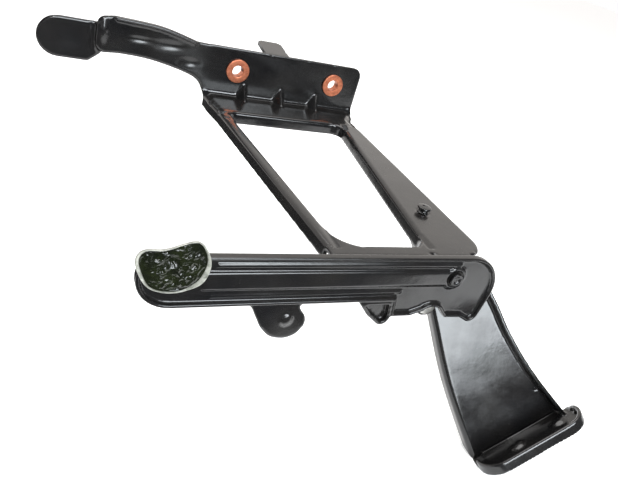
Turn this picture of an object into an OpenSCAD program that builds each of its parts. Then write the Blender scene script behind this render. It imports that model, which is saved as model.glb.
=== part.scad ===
// Pressed-steel prop stand: a bolted head plate, a flanged frame with a window,
// a splayed leg with a rolled foot, a stepping lever, and an arm that folds on a pin.
// X runs along the bolt line, +Y points at the vehicle, +Z is up.
// The origin is midway between the two bolt axes, on the mounting face.

/* [Sheet metal] */
// Thickness of every pressed panel
sheet_t = 3.2; // [2.6:0.1:4]
// Depth of the turned-down flanges, measured from the top of the web
flange_d = 11; // [9:0.5:14]
// Inner radius of the bend between the head plate and the web
bend_r = 4; // [3:0.5:6]

/* [Head plate] */
// Distance between the two bolt axes
bolt_pitch = 100; // [83:1:120]
// Height of the head plate above the bolt axes
head_rise = 20; // [17:0.5:26]
// Drop from the bolt axes to the top of the web
web_drop = 25; // [22:0.5:30]
// Reach of the head plate beyond each bolt axis
head_end = 29; // [24:0.5:35]
// Depth of the ledge between the head plate and the window
ledge_d = 41; // [34:1:49]

/* [Bushes] */
// Bore of the bolt bushes
bush_bore = 10.5; // [8.5:0.5:12.5]
// Outside diameter of the bush body
bush_d = 15; // [13:0.5:18]
// Diameter of the bush flange
bush_flange_d = 22; // [19:0.5:26]
// Thickness of the bush flange
bush_flange_t = 2; // [1.5:0.5:3]
// Stand-off of the bushes behind the head plate
bush_stand = 3.8; // [3.4:0.1:6]

/* [Frame] */
// Distance from the mounting face to the front wall
frame_len = 272; // [228:1:329]
// Width of the narrow strut
strut_w = 10; // [9:0.5:12]
// Width of the side plate at the head
side_far_w = 18; // [15:1:24]
// Width of the side plate at the front wall
side_near_w = 49; // [44:1:54]
// Depth of the web strip along the front wall
sill_d = 12; // [9:0.5:15]
// Depth of the front wall below the top of the web
wall_d = 26; // [24:0.5:32]

/* [Arm] */
// Height of the arm, centred on its pivot
arm_h = 34.5; // [30:0.5:42]
// Reach of the arm from its pivot to its far end
arm_reach = 214; // [180:1:250]
// Distance from the frame's right edge back to the pivot
pivot_in = 32; // [28:0.5:36]
// Diameter of the pivot pin
pivot_d = 8; // [7:0.5:9.5]
// Diameter of the sleeve that is pressed into the arm
sleeve_d = 12; // [11:0.5:14]
// Depth of the arm's rolled rim in front of its sheet
rim_d = 3; // [2:0.5:4]
// Thickness of the strap along the arm
strap_t = 1.8; // [1.4:0.1:2.4]
// Height of the strap along the arm
strap_h = 12; // [12:0.5:16]
// Diameter of the notch in the arm's heel
notch_d = 20; // [18:0.5:22]

/* [Leg and foot] */
// Length of the leg from the web to the sole
leg_len = 182; // [152:1:218]
// Lean of the leg towards the front, in degrees
leg_lean = 32; // [28:1:36]
// Splay of the leg to the right, in degrees
leg_splay = 34; // [30:1:38]
// Depth of the sole in front of the leg
sole_d = 28; // [25:1:34]
// Height of the rolled lip around the sole
lip_h = 6; // [4:0.5:8]

/* [Lever] */
// Reach of the lever beyond the head plate
lever_reach = 97; // [81:1:116]
// Height of the lever
lever_h = 31; // [27:0.5:36]
// Length of the paddle
paddle_len = 45; // [40:1:54]

/* [Pad] */
// Thickness of the moulded pad on the arm
pad_t = 7; // [5:0.5:9]

/* [Fits] */
// Radial running clearance of the pivot pin in its sleeve
run_gap = 0.06; // [0.03:0.01:0.09]
// Side clearance between the arm and its washer and pin head
side_gap = 0.25; // [0.2:0.05:0.4]

/* [Hidden] */
$fn = 48;
big = 600;

paint = [0.07, 0.07, 0.075];
copper = [0.80, 0.42, 0.30];
zinc = [0.62, 0.63, 0.63];

// Faces of the head plate and heights of the web
head_back = -bush_stand;
head_front = head_back - sheet_t;
web_top = -web_drop;
web_low = web_top - sheet_t;
flange_low = web_top - flange_d;
ledge_front = head_front - ledge_d;
lever_join = web_top + 13.5;

// Plan of the frame
head_left = -bolt_pitch / 2 - head_end;
head_right = bolt_pitch / 2 + head_end;
frame_right = head_right - 11;
wall_front = -frame_len;
wall_back = wall_front + sheet_t;
sill_back = wall_front + sill_d;
strut_far_x = head_left + 4;
strut_near_x = strut_far_x + 15.5;
window_far = [strut_far_x + strut_w, frame_right - side_far_w];
window_near = [strut_near_x + strut_w, frame_right - side_near_w];
corner_r = 18;

// Stud on the web
stud_shank_d = 6;
stud_d = 11;
stud_h = 3;
stud_at = [frame_right - 23, wall_front + 60];

// Layers from the front wall to the pin head
pivot_x = frame_right - pivot_in;
pivot_z = web_top + 4 - arm_h / 2;
washer_t = 2.4;
washer_d = pivot_d + 8;
arm_back = wall_front - washer_t - side_gap;
arm_front = arm_back - sheet_t;
rim_front = arm_front - rim_d;
strap_front = arm_front - strap_t;
pin_head_d = pivot_d + 2;
pin_head_t = 1.8;
head_seat = strap_front - side_gap;
doubler_back = wall_back + sheet_t;
washer_back = doubler_back + 2;

// Rivet that ties the doubler to the front wall. Its head stops the arm, because the
// stud on the arm's back comes up against it. Angles are measured about the pivot.
rivet_d = 7;
rivet_head_d = 14;
rivet_head_t = 2;
rivet_at = [pivot_x - 5.5, pivot_z - 29.5];
stop_d = 6;
stop_gap = 0.15;
stop_arm = 23;
rivet_arm = norm([5.5, 29.5]);
stop_angle = atan2(-29.5, -5.5) - acos((rivet_arm ^ 2 + stop_arm ^ 2
    - (rivet_head_d / 2 + stop_d / 2 + stop_gap) ^ 2) / (2 * rivet_arm * stop_arm));
stop_at = [pivot_x, pivot_z] + stop_arm * [cos(stop_angle), sin(stop_angle)];

// Heel and underside of the arm, and the lower edge of the front wall
arm_low = pivot_z - arm_h / 2;
heel_x = [-44.5, -42];
heel_z = -30.5;
wall_low = web_top - wall_d;

// The leg hangs from this point of the web
leg_root = [frame_right - 30, wall_front + 40, web_top];

// Points of an arc in the plane, from angle a to angle b
function arc(c, r, a, b, n = 10) =
    [for (i = [0:n]) c + r * [cos(a + (b - a) * i / n), sin(a + (b - a) * i / n)]];

// A point between b and c on the smooth curve through a, b, c and d
function blend(a, b, c, d, t) = 0.5 * (2 * b + (c - a) * t + (2 * a - 5 * b + 4 * c - d) * t * t
    + (3 * b - a - 3 * c + d) * t * t * t);

// Closed smooth curve through points p, with n steps to a span
function smooth(p, n = 6) = let (m = len(p))
    [for (i = [0:m - 1]) for (k = [0:n - 1])
        blend(p[(i + m - 1) % m], p[i], p[(i + 1) % m], p[(i + 2) % m], k / n)];

// Open smooth curve through points p
function sweep(p, n = 6) = let (m = len(p)) concat(
    [for (i = [0:m - 2]) for (k = [0:n - 1])
        blend(p[max(i - 1, 0)], p[i], p[i + 1], p[min(i + 2, m - 1)], k / n)], [p[m - 1]]);

function reverse(p) = [for (i = [len(p) - 1:-1:0]) p[i]];
function shift(p, by) = [for (q = p) q + by];

// Extrudes an outline drawn in X and Z, from y_front back through depth
module upright(y_front, depth) {
    translate([0, y_front + depth, 0]) rotate([90, 0, 0]) linear_extrude(depth) children();
}

// A round bar along Y, from y_front back through depth
module bar(x, z, d, y_front, depth) {
    translate([x, y_front, z]) rotate([-90, 0, 0]) cylinder(d = d, h = depth);
}

// Places what is drawn in the leg's own frame: X across, +Y to the back, Z up the leg
module in_leg() {
    translate(leg_root) rotate([-leg_lean, -leg_splay, 0]) children();
}

// ---- frame ----

dart_reach = 15;
dart_x = [for (k = [-1:1]) k * 0.375 * bolt_pitch - 3];

// Pressed dart that stiffens the bend: a wedge across the corner, steep on its right
module dart() {
    back = head_front + 1;
    foot = web_top - 1;
    polyhedron([[0, back, web_top + dart_reach], [0, head_front - dart_reach, foot], [-9, back, foot],
        [4, back, foot]], [[2, 1, 3], [0, 2, 3], [0, 1, 2], [1, 0, 3]]);
}

// Side view of the head plate, its bend, the ledge and the flange at the window
module head_profile() {
    bend_c = [head_front - bend_r, web_top + bend_r];
    polygon(concat(
        [[head_back, head_rise + 2], [head_front, head_rise + 2]],
        arc(bend_c, bend_r, 0, -90, 8),
        arc([ledge_front + sheet_t, web_low], sheet_t, 90, 180, 6),
        [[ledge_front, flange_low], [ledge_front + sheet_t, flange_low],
            [ledge_front + sheet_t, web_low]],
        arc(bend_c, bend_r + sheet_t, -90, 0, 8)));
}

module head_outline() {
    top_r = 9;
    polygon(concat(
        [[head_left, head_rise]],
        arc([head_right - top_r, head_rise - top_r], top_r, 90, 0),
        [[head_right, -big], [head_left, -big]]));
}

module ledge_outline() {
    polygon([[head_left, head_back + 1], [head_right, head_back + 1], [head_right, head_front - 4],
        [frame_right, ledge_front + 14], [frame_right, ledge_front], [strut_far_x, ledge_front],
        [head_left, head_front - 6]]);
}

module head_plate() {
    color(paint) difference() {
        intersection() {
            union() {
                translate([head_left - 1, 0, 0]) rotate([90, 0, 90])
                    linear_extrude(head_right - head_left + 2) head_profile();
                for (x = dart_x) translate([x, 0, 0]) dart();
            }
            upright(-big, 2 * big) head_outline();
            translate([0, 0, -big / 2]) linear_extrude(big) ledge_outline();
        }
        for (side = [-1, 1])
            bar(side * bolt_pitch / 2, 0, bush_d, head_front - 1, sheet_t + 2);
    }
}

// Narrow inverted channel beside the window
module left_strut() {
    far = ledge_front;
    near = sill_back;
    color(paint) difference() {
        translate([0, 0, flange_low]) linear_extrude(flange_d)
            polygon([[strut_far_x, far], [window_far[0], far], [window_near[0], near],
                [strut_near_x, near]]);
        translate([0, 0, flange_low - 1]) linear_extrude(flange_d - sheet_t + 1)
            polygon([[strut_far_x + sheet_t, far + 1], [window_far[0] - sheet_t, far + 1],
                [window_near[0] - sheet_t, near - 1], [strut_near_x + sheet_t, near - 1]]);
    }
}

// Plan of the wide side plate, drawn in by inset on its two long edges
function side_plan(inset, far, near) = concat(
    [[window_far[1] + inset, far], [frame_right - inset, far]],
    arc([frame_right - corner_r, near + corner_r], corner_r - inset, 0, -90),
    [[window_near[1] + inset, near], [window_near[1] + inset, sill_back]]);

module right_side_plate() {
    color(paint) difference() {
        translate([0, 0, flange_low]) linear_extrude(flange_d)
            polygon(side_plan(0, ledge_front, wall_back));
        translate([0, 0, flange_low - 1]) linear_extrude(flange_d - sheet_t + 1)
            polygon(side_plan(sheet_t, ledge_front + 1, wall_back - 1));
        translate([0, 0, flange_low - 1]) linear_extrude(flange_d - sheet_t + 1)
            polygon([[window_near[1] - 1, wall_back - 1], [frame_right + 1, wall_back - 1],
                [frame_right + 1, wall_back + corner_r], [window_near[1] - 1, wall_back + corner_r]]);
        translate([stud_at[0], stud_at[1], web_low - 1])
            cylinder(d = stud_shank_d, h = sheet_t + 2);
    }
}

// Deeper part of the front wall that carries the pivot and the rivet
module wall_ear(top) {
    right = pivot_x + 14;
    polygon(concat([[pivot_x - 16, top]], arc(rivet_at, rivet_head_d / 2 + 2, 190, 310, 8),
        [[right, pivot_z - 9], [right, top]]));
}

module front_wall() {
    color(paint) difference() {
        union() {
            upright(wall_front, sheet_t) {
                polygon([[strut_near_x, web_top], [strut_near_x + 2, flange_low - 4],
                    [strut_near_x + 17, wall_low], [frame_right - 22, wall_low],
                    [frame_right - corner_r, web_low], [frame_right - corner_r, web_top]]);
                wall_ear(web_low);
            }
            translate([0, 0, web_low]) linear_extrude(sheet_t)
                polygon([[strut_near_x, sill_back], [window_near[1], sill_back],
                    [window_near[1], wall_back], [strut_near_x, wall_back]]);
        }
        bar(pivot_x, pivot_z, pivot_d, wall_front - 1, sheet_t + 2);
        bar(rivet_at[0], rivet_at[1], rivet_d, wall_front - 1, sheet_t + 2);
    }
}

// Second sheet behind the front wall, under the pivot
module pivot_doubler() {
    color(paint) difference() {
        upright(wall_back, sheet_t) wall_ear(web_low - 2);
        bar(pivot_x, pivot_z, pivot_d, wall_back - 1, sheet_t + 2);
        bar(rivet_at[0], rivet_at[1], rivet_d, wall_back - 1, sheet_t + 2);
    }
}

// ---- leg and foot, drawn in the leg's own frame ----

leg_top_w = 36;
leg_waist_w = 48;
leg_foot_w = 83;
leg_flange = 14;
leg_left = sweep([[-leg_top_w / 2 + 6, 30], [-leg_top_w / 2 + 3, -12],
    [-leg_waist_w / 2 - 2, -0.34 * leg_len], [-0.46 * leg_foot_w, -0.64 * leg_len],
    [-leg_foot_w / 2 - 4, -leg_len]]);
leg_right = sweep([[leg_top_w / 2 - 5, 30], [leg_top_w / 2, -0.16 * leg_len],
    [leg_waist_w / 2 - 2.5, -0.4 * leg_len], [leg_waist_w / 2 - 2.5, -0.56 * leg_len],
    [0.31 * leg_foot_w, -0.76 * leg_len], [leg_foot_w / 2 - 5.5, -leg_len]]);

// The leg's top is trimmed to the room between the side plate's flanges
module right_leg() {
    color(paint) intersection() {
        in_leg() {
            upright(0, sheet_t) polygon(concat(leg_left, reverse(leg_right)));
            upright(0, leg_flange)
                polygon(concat(leg_left, reverse(shift(leg_left, [sheet_t, 0]))));
            upright(-leg_flange / 2, leg_flange / 2 + sheet_t)
                polygon(concat(shift(leg_right, [-sheet_t, 0]), reverse(leg_right)));
        }
        union() {
            translate([-big, -big, flange_low - 2 * big]) cube(2 * big);
            translate([0, 0, flange_low - 1]) linear_extrude(web_low - flange_low + 1)
                polygon(side_plan(sheet_t, ledge_front, wall_back));
        }
    }
}

// Plan of the sole, seen along the leg
function sole_plan(inset, back) = let (l = -leg_foot_w / 2 - 3.5 + inset,
        r = leg_foot_w / 2 + 3 - inset, f = -sole_d + inset, cr = 17 - inset)
    concat([[l, back]], arc([l + cr, f + cr], cr, 180, 270, 8),
        arc([r - cr, f + cr], cr, 270, 360, 8), [[r, back]]);

module foot_plate() {
    color(paint) in_leg() translate([0, 0, -leg_len - sheet_t]) {
        linear_extrude(sheet_t) polygon(sole_plan(0, sheet_t));
        difference() {
            linear_extrude(sheet_t + lip_h) polygon(sole_plan(0, -leg_flange / 2 - 1));
            translate([0, 0, sheet_t])
                linear_extrude(lip_h + 1) polygon(sole_plan(sheet_t, 0));
        }
    }
}

// ---- lever ----

lever_top = head_rise + 9;
lever_low = lever_top - lever_h;
lever_end = head_left - lever_reach;
lever_rim = 3;
lap = 14;
lever_ridge = sweep([[head_left - 12, head_rise + 0.5], [head_left - 44, lever_top - 1],
    [lever_end + 14, lever_top + 1]]);

module step_lever() {
    color(paint) {
        upright(head_front, sheet_t) polygon(concat(
            [[head_left, head_rise]], lever_ridge,
            arc([lever_end + 8, lever_top - 8], 8, 90, 180, 5),
            sweep([[lever_end, lever_low + 5], [lever_end + 6, lever_low], [lever_end + 22, lever_low + 1],
                [head_left - 46, lever_low - 1], [head_left - 11, lever_join - 0.5], [head_left, web_top]])));
        upright(head_front - lever_rim, lever_rim)
            polygon(concat(lever_ridge, reverse(shift(lever_ridge, [0, -sheet_t]))));
    }
}

// Stepping paddle, lapped behind the lever's end
module lever_paddle() {
    paddle_r = 17;
    mid = lever_top - 24;
    tip = lever_end - paddle_len;
    color(paint) upright(head_back, sheet_t) polygon(concat(
        arc([tip + paddle_r, mid], paddle_r, 90, 270, 14),
        [[lever_end - 4, mid - paddle_r], [lever_end + lap, lever_low + 5],
            [lever_end + lap, lever_top - 6], [lever_end - 4, mid + paddle_r]]));
}

// ---- fittings on the frame ----

tab_t = bush_stand - 0.8;
tab_x = [-25.5, -1.5];
tab_reach = 29;
tab_rise = 3.5;
tab_leg = 24;

// Locating tab: an angle welded to the back of the head plate
module rear_tab() {
    top = head_rise;
    color(paint) difference() {
        translate([tab_x[0], 0, 0]) rotate([90, 0, 90]) linear_extrude(tab_x[1] - tab_x[0])
            polygon([[head_back, top - tab_leg], [head_back + tab_t, top - tab_leg],
                [head_back + tab_t, top - tab_t], [head_back + tab_reach, top + tab_rise - tab_t],
                [head_back + tab_reach, top + tab_rise], [head_back, top]]);
        translate([tab_x[1], head_back + 9, top - 10]) cylinder(d = 3, h = 20);
        for (x = tab_x) translate([x, head_back + tab_reach, top]) rotate([0, 0, 45])
            cube([5, 5, 30], center = true);
    }
}

// Flanged bush: its body stands behind the plate and its flange in front
module bolt_bush(x) {
    color(copper) difference() {
        union() {
            bar(x, 0, bush_d, head_front, sheet_t + bush_stand);
            bar(x, 0, bush_flange_d, head_front - bush_flange_t, bush_flange_t);
        }
        bar(x, 0, bush_bore, head_front - bush_flange_t - 1, bush_flange_t + sheet_t + bush_stand + 2);
    }
}

module left_bush() bolt_bush(-bolt_pitch / 2);
module right_bush() bolt_bush(bolt_pitch / 2);

module spring_stud() {
    neck_d = stud_d - 3;
    color(paint) translate([stud_at[0], stud_at[1], 0]) {
        translate([0, 0, web_low]) cylinder(d = stud_shank_d, h = sheet_t);
        translate([0, 0, web_top]) cylinder(d = neck_d, h = stud_h);
        translate([0, 0, web_top + stud_h]) cylinder(d = stud_d, h = 2);
    }
}

module stop_rivet() {
    color(zinc) {
        bar(rivet_at[0], rivet_at[1], rivet_d, wall_front, 2 * sheet_t);
        bar(rivet_at[0], rivet_at[1], rivet_head_d, wall_front - rivet_head_t, rivet_head_t);
        bar(rivet_at[0], rivet_at[1], rivet_head_d, doubler_back, rivet_head_t);
    }
}

// ---- pivot ----

module pivot_pin() {
    color(paint) {
        bar(pivot_x, pivot_z, pivot_d, head_seat, washer_back - head_seat);
        bar(pivot_x, pivot_z, pin_head_d, head_seat - pin_head_t, pin_head_t);
        bar(pivot_x, pivot_z, pin_head_d + 2, washer_back, 1.6);
    }
}

module ring(y_front, depth, d) {
    difference() {
        bar(pivot_x, pivot_z, d, y_front, depth);
        bar(pivot_x, pivot_z, pivot_d, y_front - 1, depth + 2);
    }
}

module pivot_washer() {
    color(zinc) ring(wall_front - washer_t, washer_t, washer_d);
}

module back_washer() {
    color(zinc) ring(doubler_back, washer_back - doubler_back, washer_d);
}

module arm_sleeve() {
    color(zinc) difference() {
        bar(pivot_x, pivot_z, sleeve_d, strap_front, sheet_t + strap_t);
        bar(pivot_x, pivot_z, pivot_d + 2 * run_gap, strap_front - 1, sheet_t + strap_t + 2);
    }
}

// ---- arm ----

// Outline of the arm about its pivot: strip, heel, notch, lobe and round shoulder
module arm_outline() {
    half = arm_h / 2;
    notch_r = notch_d / 2;
    end_r = 0.38 * arm_h;
    shoulder_r = 29;
    translate([pivot_x, pivot_z]) polygon(concat(
        arc([-arm_reach + end_r, half - end_r], end_r, 90, 180, 6),
        arc([-arm_reach + 1.6 * end_r, -half + 1.6 * end_r], 1.6 * end_r, 190, 270, 8),
        [[heel_x[0], -half], [heel_x[1], heel_z], [-26, heel_z]],
        arc([-9, -23.5 - notch_r], notch_r, 138, 48, 10),
        [[5, -33.5], [19, -34]],
        arc([29, -32], 6.5, 250, 350, 6),
        arc([9.3, half - shoulder_r], shoulder_r, -8, 88, 12)));
}

module arm_plate() {
    color(paint) difference() {
        upright(rim_front, sheet_t + rim_d) arm_outline();
        upright(rim_front - 1, rim_d + 1) offset(delta = -2.4) arm_outline();
        bar(pivot_x, pivot_z, sleeve_d, arm_front - 1, sheet_t + 2);
    }
}

// Pointed cup under the arm, against the heel, open to the front
module arm_lug() {
    lug_t = 2.6;
    module outline() translate([pivot_x, pivot_z]) polygon(concat(
        [[heel_x[0] - 26.5, -arm_h / 2], [heel_x[0] - 16.5, heel_z + 2]],
        arc([heel_x[0] - 3.5, heel_z - 1], 5.6, 225, 360, 8),
        [[heel_x[1], heel_z], [heel_x[0], -arm_h / 2]]));
    color(paint) difference() {
        upright(rim_front, sheet_t + rim_d) outline();
        upright(rim_front - 1, rim_d + 2) offset(delta = -lug_t) outline();
    }
}

// Stud welded to the arm's back
module stop_stud() {
    color(paint) bar(stop_at[0], stop_at[1], stop_d, arm_back, rivet_head_t);
}

strap_left = pivot_x - arm_reach + 38;

module arm_strap() {
    color(paint) difference() {
        union() {
            bar(pivot_x, pivot_z, sleeve_d + 5, strap_front, strap_t);
            upright(strap_front, strap_t) translate([strap_left, pivot_z - strap_h / 2])
                square([pivot_x - strap_left, strap_h]);
        }
        bar(pivot_x, pivot_z, sleeve_d, strap_front - 1, strap_t + 2);
    }
}

// Small handling ear under the arm
module ear_tab() {
    ear_x = pivot_x - 0.53 * arm_reach;
    color(paint) translate([ear_x, 0, arm_low]) upright(arm_front, sheet_t)
        polygon(sweep([[-36, 0], [-30, -3.5], [-25.5, -11], [-19.5, -21], [-12, -28], [-2, -30], [6, -26.5],
            [9.5, -19], [8.5, -12.5], [5, -8], [3, -4], [6, 0]]));
}

// ---- pad at the arm's far end ----

pad_c = [pivot_x - arm_reach + 17, pivot_z + 15.5];
pad_rim = 2;
dish_t = 3.5;
cup_floor = 1.2;
pad_rivet_d = 5;

// Kidney outline of the pad about its centre, drawn in by inset
module pad_outline(inset) {
    k = 1 - inset / 18;
    translate(pad_c) polygon(smooth(k * [[-20, 3], [-17, 10.5], [-6, 11.3], [3, 14.5],
        [11, 16.5], [17, 10], [20, 1], [17.5, -9.5], [8, -15.5], [-3, -16], [-13, -11.5]]));
}

// Dished shell: a wide rim in front of a narrower boss
module pad_cup() {
    color(paint) difference() {
        union() {
            upright(rim_front - pad_t, dish_t) pad_outline(0);
            upright(rim_front - pad_t + dish_t, pad_t - dish_t) pad_outline(4.5);
        }
        upright(rim_front - pad_t - 1, dish_t - cup_floor + 1) pad_outline(pad_rim);
        bar(pad_c[0], pad_c[1], pad_rivet_d, rim_front - pad_t, pad_t + 1);
    }
}

module foot_pad() {
    color([0.10, 0.12, 0.08]) difference() {
        upright(rim_front - pad_t - 1, dish_t - cup_floor + 1) pad_outline(pad_rim);
        bar(pad_c[0], pad_c[1], pad_rivet_d + 4, rim_front - pad_t - 2, pad_t);
    }
}

// Rivet that ties the cup to the arm, sunk in the pad
module pad_rivet() {
    floor_y = rim_front - pad_t + dish_t - cup_floor;
    color(zinc) {
        bar(pad_c[0], pad_c[1], pad_rivet_d, floor_y, rim_front - floor_y);
        bar(pad_c[0], pad_c[1], pad_rivet_d + 3, floor_y - 1.5, 1.5);
    }
}

head_plate();
left_strut();
right_side_plate();
front_wall();
pivot_doubler();
right_leg();
foot_plate();
step_lever();
lever_paddle();
rear_tab();
left_bush();
right_bush();
spring_stud();
stop_rivet();
pivot_pin();
pivot_washer();
back_washer();
arm_plate();
arm_strap();
arm_sleeve();
arm_lug();
stop_stud();
ear_tab();
pad_cup();
foot_pad();
pad_rivet();
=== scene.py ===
import bpy
import bmesh
import math
import numpy as np
from mathutils import Matrix, Vector, noise


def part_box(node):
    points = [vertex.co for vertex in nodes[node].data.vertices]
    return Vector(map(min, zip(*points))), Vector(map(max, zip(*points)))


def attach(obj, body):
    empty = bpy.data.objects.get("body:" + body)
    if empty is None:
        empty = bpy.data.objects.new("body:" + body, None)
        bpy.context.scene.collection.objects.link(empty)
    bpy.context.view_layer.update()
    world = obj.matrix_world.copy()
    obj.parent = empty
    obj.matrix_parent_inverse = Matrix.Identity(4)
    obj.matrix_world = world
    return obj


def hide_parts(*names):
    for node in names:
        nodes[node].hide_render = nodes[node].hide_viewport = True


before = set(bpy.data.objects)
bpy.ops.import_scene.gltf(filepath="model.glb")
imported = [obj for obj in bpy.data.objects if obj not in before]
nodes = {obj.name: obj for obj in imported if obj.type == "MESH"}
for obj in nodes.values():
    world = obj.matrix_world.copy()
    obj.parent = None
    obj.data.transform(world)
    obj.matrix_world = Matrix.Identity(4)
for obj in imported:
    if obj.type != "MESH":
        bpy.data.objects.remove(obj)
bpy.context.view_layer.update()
mm = 0.001
print("frame loaded:", len(nodes), "nodes")

# camera: where it stands, the way it looks, and its tilt about the view line
cameraSetup = {"spot": (-0.23675, -0.536, 0.1569), "heading": 30.78, "down": 29.16, "roll": 17.3,
               "lens": 34.95, "sensor": 36.0}


def placeCamera(setup):
    data = bpy.data.cameras.new("mainCamera")
    data.lens = setup["lens"]
    data.sensor_width = setup["sensor"]
    data.clip_start = 0.01
    camera = bpy.data.objects.new("mainCamera", data)
    bpy.context.scene.collection.objects.link(camera)
    turn = (Matrix.Rotation(-math.radians(setup["heading"]), 4, "Z")
            @ Matrix.Rotation(math.radians(90 - setup["down"]), 4, "X")
            @ Matrix.Rotation(math.radians(setup["roll"]), 4, "Z"))
    camera.matrix_world = Matrix.Translation(setup["spot"]) @ turn
    bpy.context.scene.camera = camera


placeCamera(cameraSetup)


# materials

def newMaterial(name, **settings):
    material = bpy.data.materials.new(name)
    material.use_nodes = True
    tree = material.node_tree
    shader = tree.nodes["Principled BSDF"]
    for socket, value in settings.items():
        shader.inputs[socket.replace("_", " ")].default_value = value
    return material, tree, shader


def addNode(tree, kind, settings=None, **inputs):
    node = tree.nodes.new(kind)
    for key, value in (settings or {}).items():
        setattr(node, key, value)
    for key, value in inputs.items():
        name = key.replace("_", " ")
        if isinstance(value, bpy.types.NodeSocket):
            tree.links.new(value, node.inputs[name])
        else:
            node.inputs[name].default_value = value
    return node


def objectNoise(tree, scale, detail=3.0, roughness=0.55, stretch=(1, 1, 1)):
    place = addNode(tree, "ShaderNodeTexCoord").outputs["Object"]
    if stretch != (1, 1, 1):
        place = addNode(tree, "ShaderNodeMapping", Vector=place, Scale=stretch).outputs["Vector"]
    return addNode(tree, "ShaderNodeTexNoise", Vector=place, Scale=scale, Detail=detail,
                   Roughness=roughness).outputs["Fac"]


def remap(tree, value, low, high, toLow, toHigh):
    node = addNode(tree, "ShaderNodeMapRange", Value=value)
    for socket, number in zip(("From Min", "From Max", "To Min", "To Max"), (low, high, toLow, toHigh)):
        node.inputs[socket].default_value = number
    return node.outputs["Result"]


def mixColors(tree, factor, first, second):
    node = addNode(tree, "ShaderNodeMix", {"data_type": "RGBA"})
    tree.links.new(factor, node.inputs[0])
    for socket, value in ((node.inputs[6], first), (node.inputs[7], second)):
        if isinstance(value, bpy.types.NodeSocket):
            tree.links.new(value, socket)
        else:
            socket.default_value = (*value, 1)
    return node.outputs[2]


def calculate(tree, operation, first, second):
    node = addNode(tree, "ShaderNodeMath", {"operation": operation})
    for socket, value in zip(node.inputs, (first, second)):
        if isinstance(value, bpy.types.NodeSocket):
            tree.links.new(value, socket)
        else:
            socket.default_value = value
    return node.outputs[0]


def addBump(tree, shader, layers):
    normal = None
    for height, strength, distance in layers:
        bump = addNode(tree, "ShaderNodeBump", Height=height, Strength=strength, Distance=distance)
        if normal is not None:
            tree.links.new(normal, bump.inputs["Normal"])
        normal = bump.outputs["Normal"]
    tree.links.new(normal, shader.inputs["Normal"])


paintLook = {"film": (0.0055, 0.0055, 0.006), "thin": (0.0105, 0.0098, 0.0092), "dust": (0.06, 0.052, 0.046),
             "gloss": (0.09, 0.25)}


def makeEnamel(look):
    material, tree, shader = newMaterial("glossBlackEnamel", IOR=1.5)
    patches = objectNoise(tree, 28, 5)
    grain = objectNoise(tree, 420, 4, 0.7)
    specks = remap(tree, objectNoise(tree, 900, 2, 0.6), 0.69, 0.76, 0, 1)
    up = addNode(tree, "ShaderNodeSeparateXYZ",
                 Vector=addNode(tree, "ShaderNodeNewGeometry").outputs["Normal"]).outputs["Z"]
    settled = calculate(tree, "MULTIPLY", remap(tree, up, 0.7, 1, 0, 1),
                        remap(tree, grain, 0.35, 0.8, 0.0, 0.3))
    dust = calculate(tree, "MAXIMUM", settled, calculate(tree, "MULTIPLY", specks, 0.35))
    base = mixColors(tree, remap(tree, patches, 0.35, 0.7, 0, 1), look["film"], look["thin"])
    tree.links.new(mixColors(tree, dust, base, look["dust"]), shader.inputs["Base Color"])
    smear = objectNoise(tree, 30, 4, 0.6)
    gloss = remap(tree, smear, 0.3, 0.72, *look["gloss"])
    tree.links.new(calculate(tree, "ADD", gloss, calculate(tree, "MULTIPLY", dust, 0.3)),
                   shader.inputs["Roughness"])
    addBump(tree, shader, [(objectNoise(tree, 16, 2), 0.16, 0.003), (objectNoise(tree, 150, 3), 0.10, 0.0006),
                           (grain, 0.07, 0.0002)])
    return material


copperLook = {"bright": (0.62, 0.22, 0.12), "tarnished": (0.27, 0.085, 0.05), "gloss": (0.28, 0.5)}


def makeCopper(look):
    material, tree, shader = newMaterial("copperPlate", Metallic=1.0, IOR=1.5)
    tarnish = objectNoise(tree, 230, 6, 0.65)
    base = mixColors(tree, remap(tree, tarnish, 0.35, 0.7, 0, 1), look["bright"], look["tarnished"])
    tree.links.new(base, shader.inputs["Base Color"])
    tree.links.new(remap(tree, tarnish, 0.3, 0.7, *look["gloss"]), shader.inputs["Roughness"])
    addBump(tree, shader, [(objectNoise(tree, 700, 4, 0.7), 0.25, 0.0002)])
    return material


def makeZinc(name, bright, dull):
    material, tree, shader = newMaterial(name, Metallic=1.0, IOR=1.5)
    bloom = objectNoise(tree, 300, 5, 0.6)
    base = mixColors(tree, remap(tree, bloom, 0.35, 0.7, 0, 1), bright, dull)
    tree.links.new(base, shader.inputs["Base Color"])
    tree.links.new(remap(tree, bloom, 0.3, 0.75, 0.3, 0.55), shader.inputs["Roughness"])
    addBump(tree, shader, [(objectNoise(tree, 900, 3, 0.7), 0.2, 0.0002)])
    return material


rubberLook = {"dark": (0.003, 0.004, 0.002), "green": (0.008, 0.011, 0.003), "gloss": (0.03, 0.09)}


def makeRubber(look):
    material, tree, shader = newMaterial("wetRubber", IOR=1.5)
    blotch = objectNoise(tree, 90, 5, 0.6)
    base = mixColors(tree, remap(tree, blotch, 0.35, 0.68, 0, 1), look["dark"], look["green"])
    tree.links.new(base, shader.inputs["Base Color"])
    smear = objectNoise(tree, 250, 3)
    tree.links.new(remap(tree, smear, 0.3, 0.7, *look["gloss"]), shader.inputs["Roughness"])
    addBump(tree, shader, [(objectNoise(tree, 300, 4, 0.6), 0.35, 0.0015),
                           (objectNoise(tree, 1100, 2, 0.5), 0.2, 0.0003)])
    return material


rimLook = {"bare": (0.36, 0.36, 0.32), "grimy": (0.10, 0.105, 0.085), "gloss": (0.22, 0.45)}


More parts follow.
